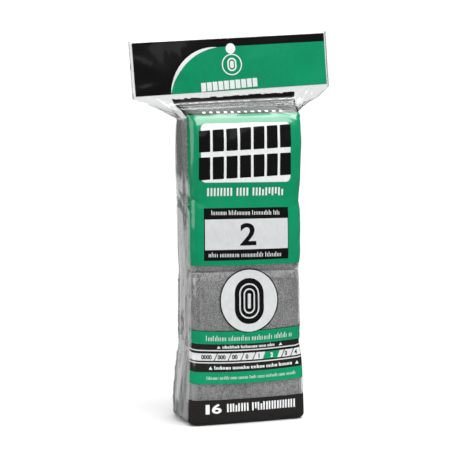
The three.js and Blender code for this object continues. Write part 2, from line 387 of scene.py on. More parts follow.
def wrinkled(points, flat):
    """Crowns over the pads, waists between tiers, and creases, pushed along the film's normals."""
    rng = np.random.default_rng(23)
    u, v = flat[..., 0], flat[..., 1]
    around = np.abs(u)
    to_back = FLAT_HALF - around
    on_front = 1 - smoothstep(around, *FACE_EDGE)
    on_face = on_front + smoothstep(around, FLAT_HALF - FACE_EDGE[1], FLAT_HALF - FACE_EDGE[0])
    body = smoothstep(v, -5, 3) * (1 - smoothstep(v, 250, 262))
    tier = (v - STACK_FLOOR) / TIER_PITCH
    crown = np.sin(np.clip(tier, 0.5, TIERS) * math.pi) ** 2
    span = np.clip(1 - (np.minimum(around, to_back) / 54) ** 2, 0, 1) ** 0.6
    push = on_face * body * (0.55 * crown * span + 0.55 * span)
    broad = waves(rng, 6, 45, 120)(u, v)
    lumps = waves(rng, 10, 14, 34)(u, v)
    fine = waves(rng, 12, 5, 11)(u, v * 0.6)
    push += on_face * body * (0.28 * broad + 0.16 * lumps)
    side_zone = smoothstep(around, *SIDE_WRINKLES) * smoothstep(to_back, *SIDE_WRINKLES)
    streaks = waves(rng, 9, 7, 20)(u, v * 0.12)
    push += side_zone * body * (0.12 * streaks + 0.03 * fine)
    crest = smoothstep(v, 244, 258) * (1 - smoothstep(v, 268, 276)) * on_front
    push += crest * 0.4 * waves(rng, 5, 26, 70)(u, v * 0.35)
    # the crest and shoulders pucker between the pads and the seal
    shoulder = smoothstep(v, 262, 272) * (1 - smoothstep(v, SEAL_FILM - 7, SEAL_FILM - 1))
    level = waves(rng, 8, 6, 16)(u * 0.12, v) * (1 - smoothstep(around, 50, 62))
    pucker = waves(rng, 9, 7, 24)(u, v * 0.35) * smoothstep(around, 50, 66)
    push += shoulder * (0.16 * level + 0.5 * pucker)
    # creases that start where a waist meets a corner
    for tier_up in range(1, TIERS):
        height = STACK_FLOOR + tier_up * TIER_PITCH
        for corner in (-52, 52, -132, 132):
            for _ in range(3):
                at = (corner + rng.uniform(-6, 6), height + rng.uniform(-9, 9))
                push += crease(u, v, at, rng.uniform(-38, 38), rng.uniform(14, 34), rng.uniform(1.4, 2.4),
                               rng.uniform(-0.45, 0.3))
    for stated in CREASES:
        push += crease(u, v, *stated)
    # long upright creases on the clear sides
    for _ in range(70):
        side = rng.choice([-1, 1])
        at = (side * rng.uniform(64, 120), rng.uniform(10, 285))
        push += crease(u, v, at, rng.normal(88, 16), rng.uniform(15, 60), rng.uniform(0.8, 1.8),
                       rng.uniform(-0.28, 0.32))
    # the ears' film gathers from the body's corners to the header's ends
    for side, behind in ((-1, 0), (-1, 1), (1, 0), (1, 1)):
        for _ in range(16):
            out = rng.uniform(60, 88)
            at = (side * (FLAT_HALF - out if behind else out), rng.uniform(268, SEAL_FILM - 4))
            lean = side * (1 - 2 * behind) * rng.uniform(24, 62)
            push += crease(u, v, at, lean, rng.uniform(14, 42), rng.uniform(0.8, 2.0), rng.uniform(-1.0, 1.1))
    dents = sum(crease(u, v, *stated) for stated in DENTS)
    push += dents
    # the header's two plies wave as one, so its back takes the wave of its front
    mirrored = np.where(around > HEADER_HALF_WIDTH, np.sign(u) * to_back, u)
    wobble = waves(rng, 5, 60, 170)(mirrored, v)
    keep = (v > 3) & ((v < SEAL_FILM - 0.5) | (around < HEADER_HALF_WIDTH - 2))
    push = np.where(v > SEAL_FILM - 0.5, dents, push)
    points = points + normals_of(points) * np.where(keep, push, 0.0)[..., None]
    points[..., 1] += smoothstep(v, SEAL_FILM + 2, SEAL_FILM + 20) * wobble * 0.5
    # the print on the front hangs low in the middle of the lower half
    front_sag = np.exp(-(((v - 70) / 58) ** 2)) * on_front * np.clip(1 - (around / 56) ** 2, 0, 1)
    points[..., 2] -= 3.0 * front_sag * smoothstep(v, 4, 34)
    return points


def leaned(points, flat):
    """Turns the header, and less and less of the film below it, about the seal line's middle."""
    v = flat[..., 1]
    gable = np.clip((points[..., 2] - CREST_HEIGHT) / (SEAL_HEIGHT - CREST_HEIGHT), 0, 1)
    share = CREST_LEAN * smoothstep(v, CREST_START - 24, CREST_START + 6) + (1 - CREST_LEAN) * gable
    turn = HEADER_ROLL * share
    x, z = points[..., 0], points[..., 2] - SEAL_HEIGHT
    pivot = np.where(gable >= 1, z, 0.0)
    made = points.copy()
    made[..., 0] = x * np.cos(turn) - pivot * np.sin(turn) + HEADER_SHIFT * gable
    made[..., 2] = SEAL_HEIGHT + z + x * np.sin(turn) - pivot * (1 - np.cos(turn))
    return made


def normals_of(points):
    """Outward normals of a ringed grid of points."""
    around = np.roll(points, -1, 1) - np.roll(points, 1, 1)
    up = np.gradient(points, axis=0)
    return unit(np.cross(around, up))


class Film:
    """The film's points and normals, made once and shared by the bag and its print."""

    points = None
    flat = None
    normals = None

    @classmethod
    def make(cls):
        if cls.points is None:
            cls.points, cls.flat = film_surface()
            cls.normals = normals_of(cls.points)
        return cls

    @classmethod
    def at(cls, across, up, lift):
        """Places on the film for film coordinates near the front, raised off it."""
        cls.make()
        rows = cls.flat[:, 0, 1]
        height = np.clip(np.interp(up, rows, np.arange(len(rows))), 0, len(rows) - 1.001)
        low_row = height.astype(int)
        share = (height - low_row)[:, None]
        place = cls.along_row(low_row, across, lift) * (1 - share)
        return place + cls.along_row(low_row + 1, across, lift) * share

    @classmethod
    def along_row(cls, rows, across, lift):
        """Places on given rows of the film, at distances round the film from its front's middle."""
        made = np.empty((len(rows), 3))
        for row in np.unique(rows):
            chosen = rows == row
            order = np.argsort(cls.flat[row, :, 0])
            round_film = cls.flat[row, order, 0]
            for axis in range(3):
                point = np.interp(across[chosen], round_film, cls.points[row, order, axis])
                normal = np.interp(across[chosen], round_film, cls.normals[row, order, axis])
                made[chosen, axis] = point + normal * lift[chosen]
        return made


# ---------------------------------------------------------------- materials
class Nodes:
    """One node tree: adds nodes, fills their sockets and makes the patterns that materials share."""

    def __init__(self, owner):
        owner.use_nodes = True
        self.tree = owner.node_tree
        self.tree.nodes.clear()

    def add(self, kind, sockets=None, **settings):
        """A node with its settings. A socket takes a value, or the output that is linked to it."""
        node = self.tree.nodes.new("ShaderNode" + kind)
        for name, value in settings.items():
            setattr(node, name, value)
        for socket, value in (sockets or {}).items():
            if isinstance(value, bpy.types.NodeSocket):
                self.tree.links.new(value, node.inputs[socket])
            else:
                node.inputs[socket].default_value = value
        return node

    def principled(self, sockets):
        """The one shader of a solid material, joined to its output."""
        self.add("OutputMaterial", {"Surface": self.add("BsdfPrincipled", sockets).outputs["BSDF"]})

    def combine(self, operation, *values):
        return self.add("Math", dict(enumerate(values)), operation=operation).outputs["Value"]

    def mix(self, share, first, second):
        return self.add("MixShader", {"Fac": share, 1: first, 2: second}).outputs["Shader"]

    def bump(self, height, strength, distance):
        sockets = {"Height": height, "Strength": strength, "Distance": distance}
        return self.add("Bump", sockets).outputs["Normal"]

    def noise(self, scale, detail, stretch=(1.0, 1.0, 1.0), distortion=0.0, turn=0.0):
        """Noise on object coordinates, turned in a face's plane and drawn out where the stretch is small."""
        place = self.add("TexCoord").outputs["Object"]
        if turn:
            turned = {"Vector": place, "Rotation": (0.0, math.radians(turn), 0.0)}
            place = self.add("Mapping", turned).outputs["Vector"]
        drawn = self.add("Mapping", {"Vector": place, "Scale": stretch}).outputs["Vector"]
        sockets = {"Vector": drawn, "Scale": scale, "Detail": detail, "Distortion": distortion}
        return self.add("TexNoise", sockets).outputs["Fac"]

    def ramp(self, source, *stops):
        """A colour ramp: stops are (place, grey level or colour)."""
        made = self.add("ValToRGB", {"Fac": source})
        for _ in stops[2:]:
            made.color_ramp.elements.new(0.5)
        for element, (place, colour) in zip(made.color_ramp.elements, stops):
            element.position = place
            grey = isinstance(colour, (int, float))
            element.color = (*((colour,) * 3 if grey else tuple(colour)[:3]), 1.0)
        return made.outputs["Color"]


def new_material(name):
    material = bpy.data.materials.new(name)
    return material, Nodes(material)


def toned(colour, share):
    return [min(1.0, channel * share) for channel in colour]


def ink_material(name, colour, roughness):
    """Flexible ink on film: nearly even, faintly mottled, with a film's gloss."""
    material, nodes = new_material(name)
    mottle = nodes.noise(240.0, 4.0)
    smear = nodes.noise(55.0, 3.0, (1.0, 1.0, 0.35))
    ripples = nodes.noise(150.0, 3.0, (1.0, 1.0, 0.6))
    nodes.principled({
        "Base Color": nodes.ramp(mottle, (0.3, toned(colour, 0.95)), (0.7, toned(colour, 1.04))),
        "Roughness": nodes.ramp(smear, (0.3, roughness * 0.8), (0.75, roughness * 1.3)),
        "Normal": nodes.bump(ripples, 0.1, 0.0003),
        "Coat Weight": 1.0,
        "Coat Roughness": 0.06,
    })
    return material


def film_material(colours):
    """Clear film: see-through, faintly hazy, with a gloss that grows at the edges."""
    material, nodes = new_material("clear_film")
    clear = nodes.add("BsdfTransparent", {"Color": (*colours.film_tint, 1.0)}).outputs["BSDF"]
    haze = nodes.add("BsdfDiffuse", {"Color": (*colours.film_haze, 1.0)}).outputs["BSDF"]
    streaks = nodes.noise(46.0, 5.0, (1.0, 1.0, 0.12), 0.4)
    cloudy = nodes.mix(nodes.ramp(streaks, (0.3, 0.035), (0.8, 0.085)), clear, haze)
    ripples = nodes.bump(nodes.noise(70.0, 4.0, (1.0, 1.0, 0.25), 0.6), 0.3, 0.0009)
    gloss = nodes.add("BsdfGlossy", {"Color": WHITE, "Roughness": 0.09, "Normal": ripples}).outputs["BSDF"]
    facing = nodes.add("LayerWeight", {"Blend": 0.5}).outputs["Facing"]
    share = nodes.combine("MULTIPLY_ADD", nodes.combine("POWER", facing, 3.6), 0.62, 0.05)
    nodes.add("OutputMaterial", {"Surface": nodes.mix(share, cloudy, gloss)})
    return material


def wool_material(name, colour):
    """Steel wool: grey metal fibres that run along the ribbon; its colour is darker where the bump's relief
    is low, painted shade in the hollows between fibres, with bright specks on the ridges.
    """
    material, nodes = new_material(name)
    fibres = [nodes.noise(scale, 2.0, (1.0, 1.0, stretch), 0.35, turn)
              for turn, scale, stretch in ((3.0, 1500.0, 0.05), (-16.0, 1250.0, 0.06), (21.0, 1400.0, 0.07))]
    top = nodes.combine("MAXIMUM", nodes.combine("MAXIMUM", *fibres[:2]), fibres[2])
    grain = nodes.noise(950.0, 2.0)
    clumps = nodes.noise(260.0, 4.0, (1.0, 1.0, 0.6))
    patches = nodes.noise(42.0, 3.0, (1.0, 1.0, 0.8))
    relief = nodes.combine("MULTIPLY_ADD", grain, 1.6, nodes.combine("MULTIPLY_ADD", top, 0.5, 0.3))
    rough = nodes.combine("MULTIPLY_ADD", clumps, 0.35, relief)
    whole = nodes.combine("MULTIPLY_ADD", patches, 0.35, rough)
    shade = nodes.add("Attribute", attribute_name="shade").outputs["Fac"]
    # the colour follows the relief that also makes the bump, which is painted shade in the hollows; the shade
    # attribute adds random tone and the painted light on the pads' ends
    level = nodes.combine("MULTIPLY_ADD", nodes.combine("ADD", whole, shade), 1.35, -1.73)
    tones = ((0.0, 0.12), (0.28, 0.3), (0.5, 0.5), (0.85, 1.0))
    nodes.principled({
        "Base Color": nodes.ramp(level, *[(place, toned(colour, share)) for place, share in tones]),
        "Metallic": 0.4,
        "Roughness": nodes.ramp(clumps, (0.3, 0.36), (0.7, 0.56)),
        "Normal": nodes.bump(relief, 0.8, 0.0005),
    })
    return material


def floor_material(colour):
    """A pale matt studio floor with a very fine grain."""
    material, nodes = new_material("pale_floor")
    nodes.principled({
        "Base Color": nodes.ramp(nodes.noise(300.0, 3.0), (0.3, toned(colour, 0.985)), (0.7, colour)),
        "Roughness": 0.9,
        "Specular IOR Level": 0.1,
    })
    return material


def ink(which):
    """The material of an ink, made the first time that it is needed."""
    name = which + "_ink"
    made = bpy.data.materials.get(name)
    return made or ink_material(name, getattr(bpy.context.scene.pad_pack_colours, name), INK_GLOSS[which])


# ---------------------------------------------------------------- artwork, drawn flat and laid on the film
def start_artwork(name):
    """A new empty mesh in edit mode, where shapes are drawn flat, one unit to the millimetre."""
    deselect()
    bpy.ops.mesh.primitive_plane_add(size=1.0)
    bpy.context.object.name = name
    bpy.ops.object.mode_set(mode="EDIT")
    bpy.ops.mesh.delete(type="VERT")
    return bpy.context.object


def selected_points(test):
    """Narrows the selection to the selected vertices that pass a test."""
    mesh = bmesh.from_edit_mesh(bpy.context.object.data)
    for vert in mesh.verts:
        if vert.select:
            vert.select = bool(test(vert.co))
    mesh.select_flush_mode()
    mesh.select_flush(False)
    bmesh.update_edit_mesh(bpy.context.object.data)


def plate(left, right, low, high, corner=0.0, slant=0.0, tilt=0.0):
    """A flat rectangle, with round corners, leaning sides or a turned baseline where asked."""
    bpy.ops.mesh.select_all(action="DESELECT")
    middle = ((left + right) / 2, (low + high) / 2, 0.0)
    bpy.ops.mesh.primitive_plane_add(size=1.0, location=middle)
    bpy.ops.transform.resize(value=(right - left, high - low, 1.0), center_override=middle)
    if tilt:
        rise = math.tan(tilt) * (right - left) / 2
        mesh = bmesh.from_edit_mesh(bpy.context.object.data)
        ends = [vert for vert in mesh.verts if vert.select]
        for sign in (-1, 1):
            for vert in ends:
                vert.select = (vert.co.x - middle[0]) * sign > 0
            mesh.select_flush_mode()
            bpy.ops.transform.translate(value=(0.0, sign * rise, 0.0))
        for vert in ends:
            vert.select = True
        mesh.select_flush_mode()
    if corner:
        bpy.ops.mesh.bevel(offset=corner, segments=8, affect="VERTICES", offset_type="OFFSET")
    if slant:
        selected_points(lambda co: co.y > middle[1])
        bpy.ops.transform.translate(value=(slant, 0.0, 0.0))
    bpy.ops.mesh.select_linked()


def wedge(corners):
    """A flat triangle, from its three corners."""
    bpy.ops.mesh.select_all(action="DESELECT")
    bpy.ops.mesh.primitive_circle_add(vertices=3, radius=1.0, fill_type="NGON")
    mesh = bmesh.from_edit_mesh(bpy.context.object.data)
    for vert, (across, up) in zip([vert for vert in mesh.verts if vert.select], corners):
        vert.co = (across, up, 0.0)
    bmesh.update_edit_mesh(bpy.context.object.data)


def disc(across, up, radius, inner=0.0, points=96):
    """A flat disc, or a ring where an inner radius is given."""
    bpy.ops.mesh.select_all(action="DESELECT")
    bpy.ops.mesh.primitive_circle_add(
        vertices=points, radius=radius, fill_type="NGON", location=(across, up, 0.0))
    if inner:
        bpy.ops.mesh.inset(thickness=radius - inner)
        bpy.ops.mesh.delete(type="FACE")


def outline(left, right, low, high, corner, stroke):
    """A rounded rectangle drawn as a line."""
    plate(left, right, low, high, corner)
    bpy.ops.mesh.inset(thickness=stroke)
    bpy.ops.mesh.delete(type="FACE")


def trim(across=None, up=None, keep=1):
    """Cuts the drawn shapes that are selected along a line and keeps one side."""
    bpy.ops.mesh.select_linked()
    point = (across or 0.0, up or 0.0, 0.0)
    normal = (1.0, 0.0, 0.0) if up is None else (0.0, 1.0, 0.0)
    bpy.ops.mesh.bisect(plane_co=point, plane_no=normal, clear_inner=keep > 0, clear_outer=keep < 0,
                        threshold=0.0001)


def numerals(name, text, across, up, height, width, bold):
    """Figures in the built-in face, as a flat mesh of their own, centred at a place."""
    deselect()
    bpy.ops.object.text_add()
    made = bpy.context.object
    made.name = name
    made.data.body = text
    made.data.size = height * 1.4
    made.data.offset = bold
    made.data.resolution_u = 6
    bpy.ops.object.convert(target="MESH")
    made = bpy.context.object
    points = np.array([vert.co for vert in made.data.vertices])
    low, high = points.min(0), points.max(0)
    middle = (low + high) / 2
    for vert in made.data.vertices:
        vert.co.x = across + (vert.co.x - middle[0]) * width / (high[0] - low[0])
        vert.co.y = up + (vert.co.y - middle[1]) * height / (high[1] - low[1])
    return made


def greeked(rng, left, right, low, height, stroke, tilt=0.0):
    """A line of plain strokes that stands for small print: no letters, only their rhythm."""
    across = left
    word = rng.integers(3, 8)
    while across < right - height * 0.5:
        wide = height * rng.uniform(0.34, 0.5)
        tall = height * rng.choice([0.7, 0.7, 0.7, 1.0])
        rise = low + math.tan(tilt) * (across - (left + right) / 2)
        plate(across, across + stroke, rise, rise + tall)
        plate(across + wide * 0.9, across + wide * 0.9 + stroke, rise, rise + height * 0.68)
        across += wide + stroke + height * 0.16
        word -= 1
        if word <= 0:
            across += height * 0.36
            word = rng.integers(3, 8)


def lay_on_film(piece, level):
    """Cuts flat artwork at the film's own grid lines and lays it on the film as a thin skin of ink."""
    if bpy.context.object is not piece or piece.mode != "EDIT":
        activate(piece)
        bpy.ops.object.mode_set(mode="EDIT")
    points = np.array([vert.co for vert in bmesh.from_edit_mesh(piece.data).verts])
    low, high = points.min(0), points.max(0)
    columns = np.concatenate([
        -FRONT_COLUMNS[::-1], FRONT_COLUMNS[1:], np.arange(-90, -61, 5.0), np.arange(65, 91, 5.0)])
    rows = Film.make().flat[:, 0, 1]
    for axis, stops in enumerate((columns, rows)):
        normal = (1.0 - axis, float(axis), 0.0)
        for stop in stops:
            if low[axis] + 0.01 < stop < high[axis] - 0.01:
                bpy.ops.mesh.select_all(action="SELECT")
                spot = tuple(stop * share for share in normal)
                bpy.ops.mesh.bisect(plane_co=spot, plane_no=normal, threshold=0.001)
    bpy.ops.mesh.select_all(action="SELECT")
    bpy.ops.mesh.remove_doubles(threshold=0.002)
    bpy.ops.mesh.normals_make_consistent(inside=False)
    bpy.ops.object.mode_set(mode="OBJECT")
    plan = np.array([vert.co for vert in piece.data.vertices])
    lift = np.full(len(plan), INK_LIFT + LAYER_LIFT * level)
    laid = Film.at(plan[:, 0], plan[:, 1], lift) * MM
    piece.data.vertices.foreach_set("co", laid.astype(np.float32).ravel())
    piece.location = (0.0, 0.0, 0.0)
    piece.data.update()
    face_out(piece)
    solidify(piece, bpy.context.scene.pad_pack_sizes.ink_thickness, 1.0)
    bpy.ops.object.shade_smooth_by_angle(angle=math.radians(40))


def solidify(piece, thickness, offset):
    """Gives a skin its thickness, outwards where the offset is 1 and inwards where it is -1."""
    wall = piece.modifiers.new("wall", "SOLIDIFY")
    wall.thickness = thickness
    wall.offset = offset
    activate(piece)
    bpy.ops.object.modifier_apply(modifier=wall.name)


def face_out(piece):
    """Turns a laid skin's faces away from the bag."""
    mesh = bmesh.new()
    mesh.from_mesh(piece.data)
    score = sum(face.normal.y * face.calc_area() for face in mesh.faces)
    if score > 0:
        bmesh.ops.reverse_faces(mesh, faces=mesh.faces)
    mesh.to_mesh(piece.data)
    mesh.free()


def finish_print(piece, which, level, shade=None):
    """Lays artwork on the film, and gives it the material of its ink."""
    lay_on_film(piece, level)
    piece.data.materials.clear()
    piece.data.materials.append(ink(shade or which))
    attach(piece, "root")
    return piece


def printed(name, which, level, *shapes, shade=None):
    """A piece of print: shapes drawn in one flat mesh, each a function and its values, laid on the film."""
    piece = start_artwork(name)
    for draw, *values in shapes:
        draw(*values)
    return finish_print(piece, which, level, shade)


def band(low, high):
    """A plate across the whole front."""
    plate(-PRINT_HALF, PRINT_HALF, low, high)


def join(first, others):
    """Adds flat meshes to the first one."""
    if bpy.context.object is not None and bpy.context.object.mode == "EDIT":
        bpy.ops.object.mode_set(mode="OBJECT")
    deselect()
    for other in others:
        other.select_set(True)
    choose(first)
    bpy.ops.object.join()


# ---------------------------------------------------------------- what a user would change
class PadPackSizes(bpy.types.PropertyGroup):
    """Sizes of the pack's soft pieces, in metres unless said."""

    film_thickness: FloatProperty(
        name="Film thickness", description="Wall of the clear bag", default=0.00006, unit="LENGTH")
    ink_thickness: FloatProperty(
        name="Ink thickness", description="Height of printed ink on the film", default=0.00003, unit="LENGTH")
    hole_radius: FloatProperty(
        name="Hang hole radius", description="Radius of the hole in the header",
        default=HOLE_RADIUS * MM, unit="LENGTH")
    pad_length: FloatProperty(
        name="Pad length", description="Length of a pad across the bag", default=0.101, unit="LENGTH")
    fibre_width: FloatProperty(
        name="Fibre width", description="Width of a loose steel fibre", default=0.00017, unit="LENGTH")
    face_fibres: IntProperty(
        name="Fibres on a face", description="Loose fibres on each pad face that shows", default=620)
    end_fibres: IntProperty(
        name="Fibres on an end", description="Loose fibres on each end of a pad", default=95)
    floor_size: FloatProperty(
        name="Floor radius", description="Radius of the round studio floor", default=0.22, unit="LENGTH")
    camera_distance: FloatProperty(
        name="Camera distance", description="From the middle of the pack to the camera",
        default=1.1286, unit="LENGTH")
    camera_lens: FloatProperty(
        name="Lens", description="Focal length in millimetres", default=99.2)
    camera_turn: FloatProperty(
        name="Camera turn", description="How far left of the pack's front the camera stands",
        default=math.radians(-19.25), subtype="ANGLE")
    camera_rise: FloatProperty(
        name="Camera rise", description="How far above level the camera looks from",
        default=math.radians(3.9), subtype="ANGLE")


COLOUR = {"subtype": "COLOR", "min": 0.0, "max": 1.0}


class PadPackColours(bpy.types.PropertyGroup):
    """Colours and light levels of the pack and its studio."""

    green_ink: FloatVectorProperty(
        name="Green ink", description="Colour of the green panels",
        default=(0.002, 0.31, 0.135), **COLOUR)
    black_ink: FloatVectorProperty(
        name="Black ink", description="Colour of the black bands",
        default=(0.004, 0.004, 0.004), **COLOUR)
    white_ink: FloatVectorProperty(
        name="White ink", description="Colour of the white square and marks",
        default=(0.93, 0.95, 0.95), **COLOUR)
    # a black lighter than the black ink: painted sheen on the black bands over the wool
    thin_black_ink: FloatVectorProperty(
        name="Sheened black ink", description="Colour of the black bands over the wool",
        default=(0.018, 0.017, 0.0155), **COLOUR)
    pale_ink: FloatVectorProperty(
        name="Pale ink", description="Colour of the grade box, the badge and the scale",
        default=(0.735, 0.755, 0.765), **COLOUR)
    steel_wool: FloatVectorProperty(
        name="Steel wool", description="Colour of the brightest fibres",
        default=(0.56, 0.56, 0.55), **COLOUR)
    film_tint: FloatVectorProperty(
        name="Film tint", description="What one wall of film lets through",
        default=(0.985, 0.987, 0.988), **COLOUR)
    film_haze: FloatVectorProperty(
        name="Film haze", description="Colour of the film's faint cloudiness",
        default=(0.86, 0.87, 0.88), **COLOUR)
    floor: FloatVectorProperty(
        name="Floor", description="Colour of the studio floor",
        default=(0.86, 0.86, 0.86), **COLOUR)
    key_radiance: FloatProperty(
        name="Key light", description="Brightness of the soft light high in front", default=5.0)
    top_radiance: FloatProperty(
        name="Top light", description="Brightness of the wide soft light overhead", default=1.5)
    side_radiance: FloatProperty(
        name="Side light", description="Brightness of the soft light at the left", default=1.7)
    low_radiance: FloatProperty(
        name="Low light", description="Brightness of the dim light low in front", default=0.3)
    rim_radiance: FloatProperty(
        name="Rim light", description="Brightness of the light behind, which glances off the left side",
        default=0.6)
    back_radiance: FloatProperty(
        name="Back light", description="Brightness of the soft light behind", default=1.5)
    ambient: FloatProperty(
        name="Ambient light", description="Level of the even light from all round", default=0.29)
    reflected: FloatProperty(
        name="Reflected room", description="Level of the room that glossy surfaces reflect", default=0.05)


# ---------------------------------------------------------------- stage
def place_round(name, data, turn, rise, distance):
    """Puts a camera or a light on a sphere round the pack's middle, where it faces the middle."""
    piece = bpy.data.objects.new(name, data)
    bpy.context.scene.collection.objects.link(piece)
    away = Vector((math.sin(turn) * math.cos(rise), -math.cos(turn) * math.cos(rise), math.sin(rise)))
    piece.location = PACK_MIDDLE + away * distance
    piece.rotation_euler = away.to_track_quat("Z", "Y").to_euler()
    return piece


def soft_light(name, turn, rise, distance, wide, tall, radiance):
    """A rectangular soft light that faces the pack, from a turn and a rise in degrees."""
    data = bpy.data.lights.new(name, "AREA")
    data.shape = "RECTANGLE"
    data.size = wide
    data.size_y = tall
    data.energy = radiance * math.pi * wide * tall
    light = place_round(name, data, math.radians(turn), math.radians(rise), distance)
    light.visible_camera = False


class PadPackStage(bpy.types.Operator):
    """Set up the camera, the soft lights and the pale floor."""

    bl_idname = "pad_pack.stage"
    bl_label = "Stage"

    def execute(self, context):
        scene = context.scene
        sizes, colours = scene.pad_pack_sizes, scene.pad_pack_colours
        data = bpy.data.cameras.new("camera")
        data.lens = sizes.camera_lens
        data.sensor_width = 36.0
        data.shift_x = -0.0179
        data.shift_y = -0.0058
        scene.camera = place_round(
            "camera", data, sizes.camera_turn, sizes.camera_rise, sizes.camera_distance)

        # the camera sees a white room, glossy surfaces reflect a dim one, and the rest is lit evenly
        scene.world = bpy.data.worlds.new("studio")
        nodes = Nodes(scene.world)
        seen, even, dim = [
            nodes.add("Background", {"Color": WHITE, "Strength": strength}).outputs["Background"]
            for strength in (1.05, colours.ambient, colours.reflected)]
        path = nodes.add("LightPath").outputs
        unseen = nodes.mix(path["Is Glossy Ray"], even, dim)
        nodes.add("OutputWorld", {"Surface": nodes.mix(path["Is Camera Ray"], unseen, seen)})

        soft_light("key_light", 30.0, 54.0, 1.3, 1.3, 0.95, colours.key_radiance)
        soft_light("top_light", 150.0, 74.0, 1.2, 2.0, 1.3, colours.top_radiance)
        soft_light("left_light", -80.0, 22.0, 1.5, 1.5, 1.3, colours.side_radiance)
        soft_light("low_light", 8.0, 20.0, 1.6, 0.5, 0.4, colours.low_radiance)
        soft_light("rim_light", -158.0, -9.0, 1.4, 0.9, 0.36, colours.rim_radiance)
        soft_light("back_light", 150.0, 50.0, 1.6, 1.2, 0.8, colours.back_radiance)

        deselect()
        bpy.ops.mesh.primitive_circle_add(vertices=128, radius=sizes.floor_size, fill_type="NGON")
        floor = context.object
        floor.name = "studio_floor"
        floor.data.materials.append(floor_material(colours.floor))
        floor.visible_glossy = False
        scene.view_settings.view_transform = "Standard"
        scene.cycles.transparent_max_bounces = 40
        return {"FINISHED"}


# ---------------------------------------------------------------- the bag
class PadPackFilm(bpy.types.Operator):
    """Make the clear film bag with its pleated sides, gable and header."""

    bl_idname = "pad_pack.film"
    bl_label = "Clear film bag"

    def execute(self, context):
        sizes = context.scene.pad_pack_sizes
        film = Film.make()
        rows, columns = film.points.shape[:2]
        grid = np.arange(rows * columns).reshape(rows, columns)
        after = np.roll(grid, -1, 1)
        faces = np.stack([grid[:-1], after[:-1], after[1:], grid[1:]], -1).reshape(-1, 4).tolist()
        # the foot and the header's top are closed by quads between the front ply and the back ply
        half = columns // 2
        for row, flip in ((grid[0], True), (grid[-1], False)):
            for side in (1, -1):
                for i in range(half // 2):
                    ends = [row[side * step] for step in (i, i + 1, half - i - 1, half - i)]
                    ends = list(dict.fromkeys(int(end) for end in ends))
                    if (side < 0) != flip:
                        ends.reverse()
                    faces.append(ends)
        bag = mesh_piece("clear_film_bag", film.points.reshape(-1, 3), faces)
        punch_hole(bag)
        solidify(bag, sizes.film_thickness, -1.0)
        bag.data.materials.append(film_material(context.scene.pad_pack_colours))
        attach(bag, "root")
        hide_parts("film_bag")
        return {"FINISHED"}


def punch_hole(piece):
    """Cuts the hang hole through what lies on the header."""
    cos, sin = math.cos(HEADER_ROLL), math.sin(HEADER_ROLL)
    centre = Vector((HEADER_SHIFT - HOLE_ABOVE_SEAL * sin, 0.0, SEAL_HEIGHT + HOLE_ABOVE_SEAL * cos))
    deselect()
    bpy.ops.mesh.primitive_cylinder_add(
        vertices=48, radius=bpy.context.scene.pad_pack_sizes.hole_radius, depth=0.02, location=centre * MM,
        rotation=(math.pi / 2, 0.0, 0.0))
    cutter = bpy.context.object
    cut = piece.modifiers.new("hole", "BOOLEAN")
    cut.operation = "DIFFERENCE"
    cut.object = cutter
    cut.solver = "EXACT"
    activate(piece)
    bpy.ops.object.modifier_apply(modifier=cut.name)
    bpy.data.objects.remove(cutter)


# ---------------------------------------------------------------- print
class PadPackHeader(bpy.types.Operator):
    """Print the header: a green field under an arc, a black field and plain white marks."""

    bl_idname = "pad_pack.header"
    bl_label = "Header print"

    def execute(self, context):
        base = SEAL_FILM
        left, right, low, high = -89.5, 90.2, base + 1.8, base + 47.6
        arc_across, arc_up, arc_radius = -8.1, base - 10.6, 51.0
        green_top = base + 40.4

        black = start_artwork("header_black")
        plate(left, right, low, high)
        # a strip below the seal, whose edges are uneven where the film puckers
        rng = np.random.default_rng(5)
        stops = np.linspace(-PRINT_HALF, PRINT_HALF, 40)
        for start, end in zip(stops[:-1], stops[1:]):
            plate(start, end, base - 7.7 + rng.uniform(-0.5, 0.5), base - 2.7 + rng.uniform(-0.6, 0.4))
        punch_hole(finish_print(black, "black", 0))

        crescent = start_artwork("header_crescent")
        disc(arc_across - 9.2, arc_up + 11.0, arc_radius - 10.9, points=180)
        trim(up=low, keep=1)
        trim(up=green_top + 0.25, keep=-1)
        trim(across=-2.0, keep=-1)
        punch_hole(finish_print(crescent, "white", 1))

        green = start_artwork("header_green")
        disc(arc_across, arc_up, arc_radius, points=180)
        trim(up=low, keep=1)
        trim(across=arc_across, keep=-1)
        plate(arc_across, right, low, green_top)
        punch_hole(finish_print(green, "green", 2))

        marks = start_artwork("header_marks")
        ring_across, ring_up = 0.3, base + 24.5
        disc(ring_across, ring_up, 9.4, 8.4)
        rolled_pad(ring_across, ring_up, 4.2, 11.8, 1.3)
        across = -29.6
        count, wide, tall, gap = HEADER_BLOCKS
        for _ in range(count):
            rise = base + 2.4 + (across + 30) * 0.03
            plate(across, across + wide, rise, rise + tall)
            across += wide + gap
        finish_print(marks, "white", 3)
        return {"FINISHED"}


def rolled_pad(across, up, half_width, height, stroke):
    """A plain drawing of a flat-rolled pad: one long turn inside another."""
    low, high = up - height / 2, up + height / 2
    outline(across - half_width, across + half_width, low, high, half_width * 0.98, stroke)
    inner = half_width - stroke * 1.9
    plate(across - inner, across + inner, low + stroke * 2.1, high - stroke * 2.1, inner * 0.96)


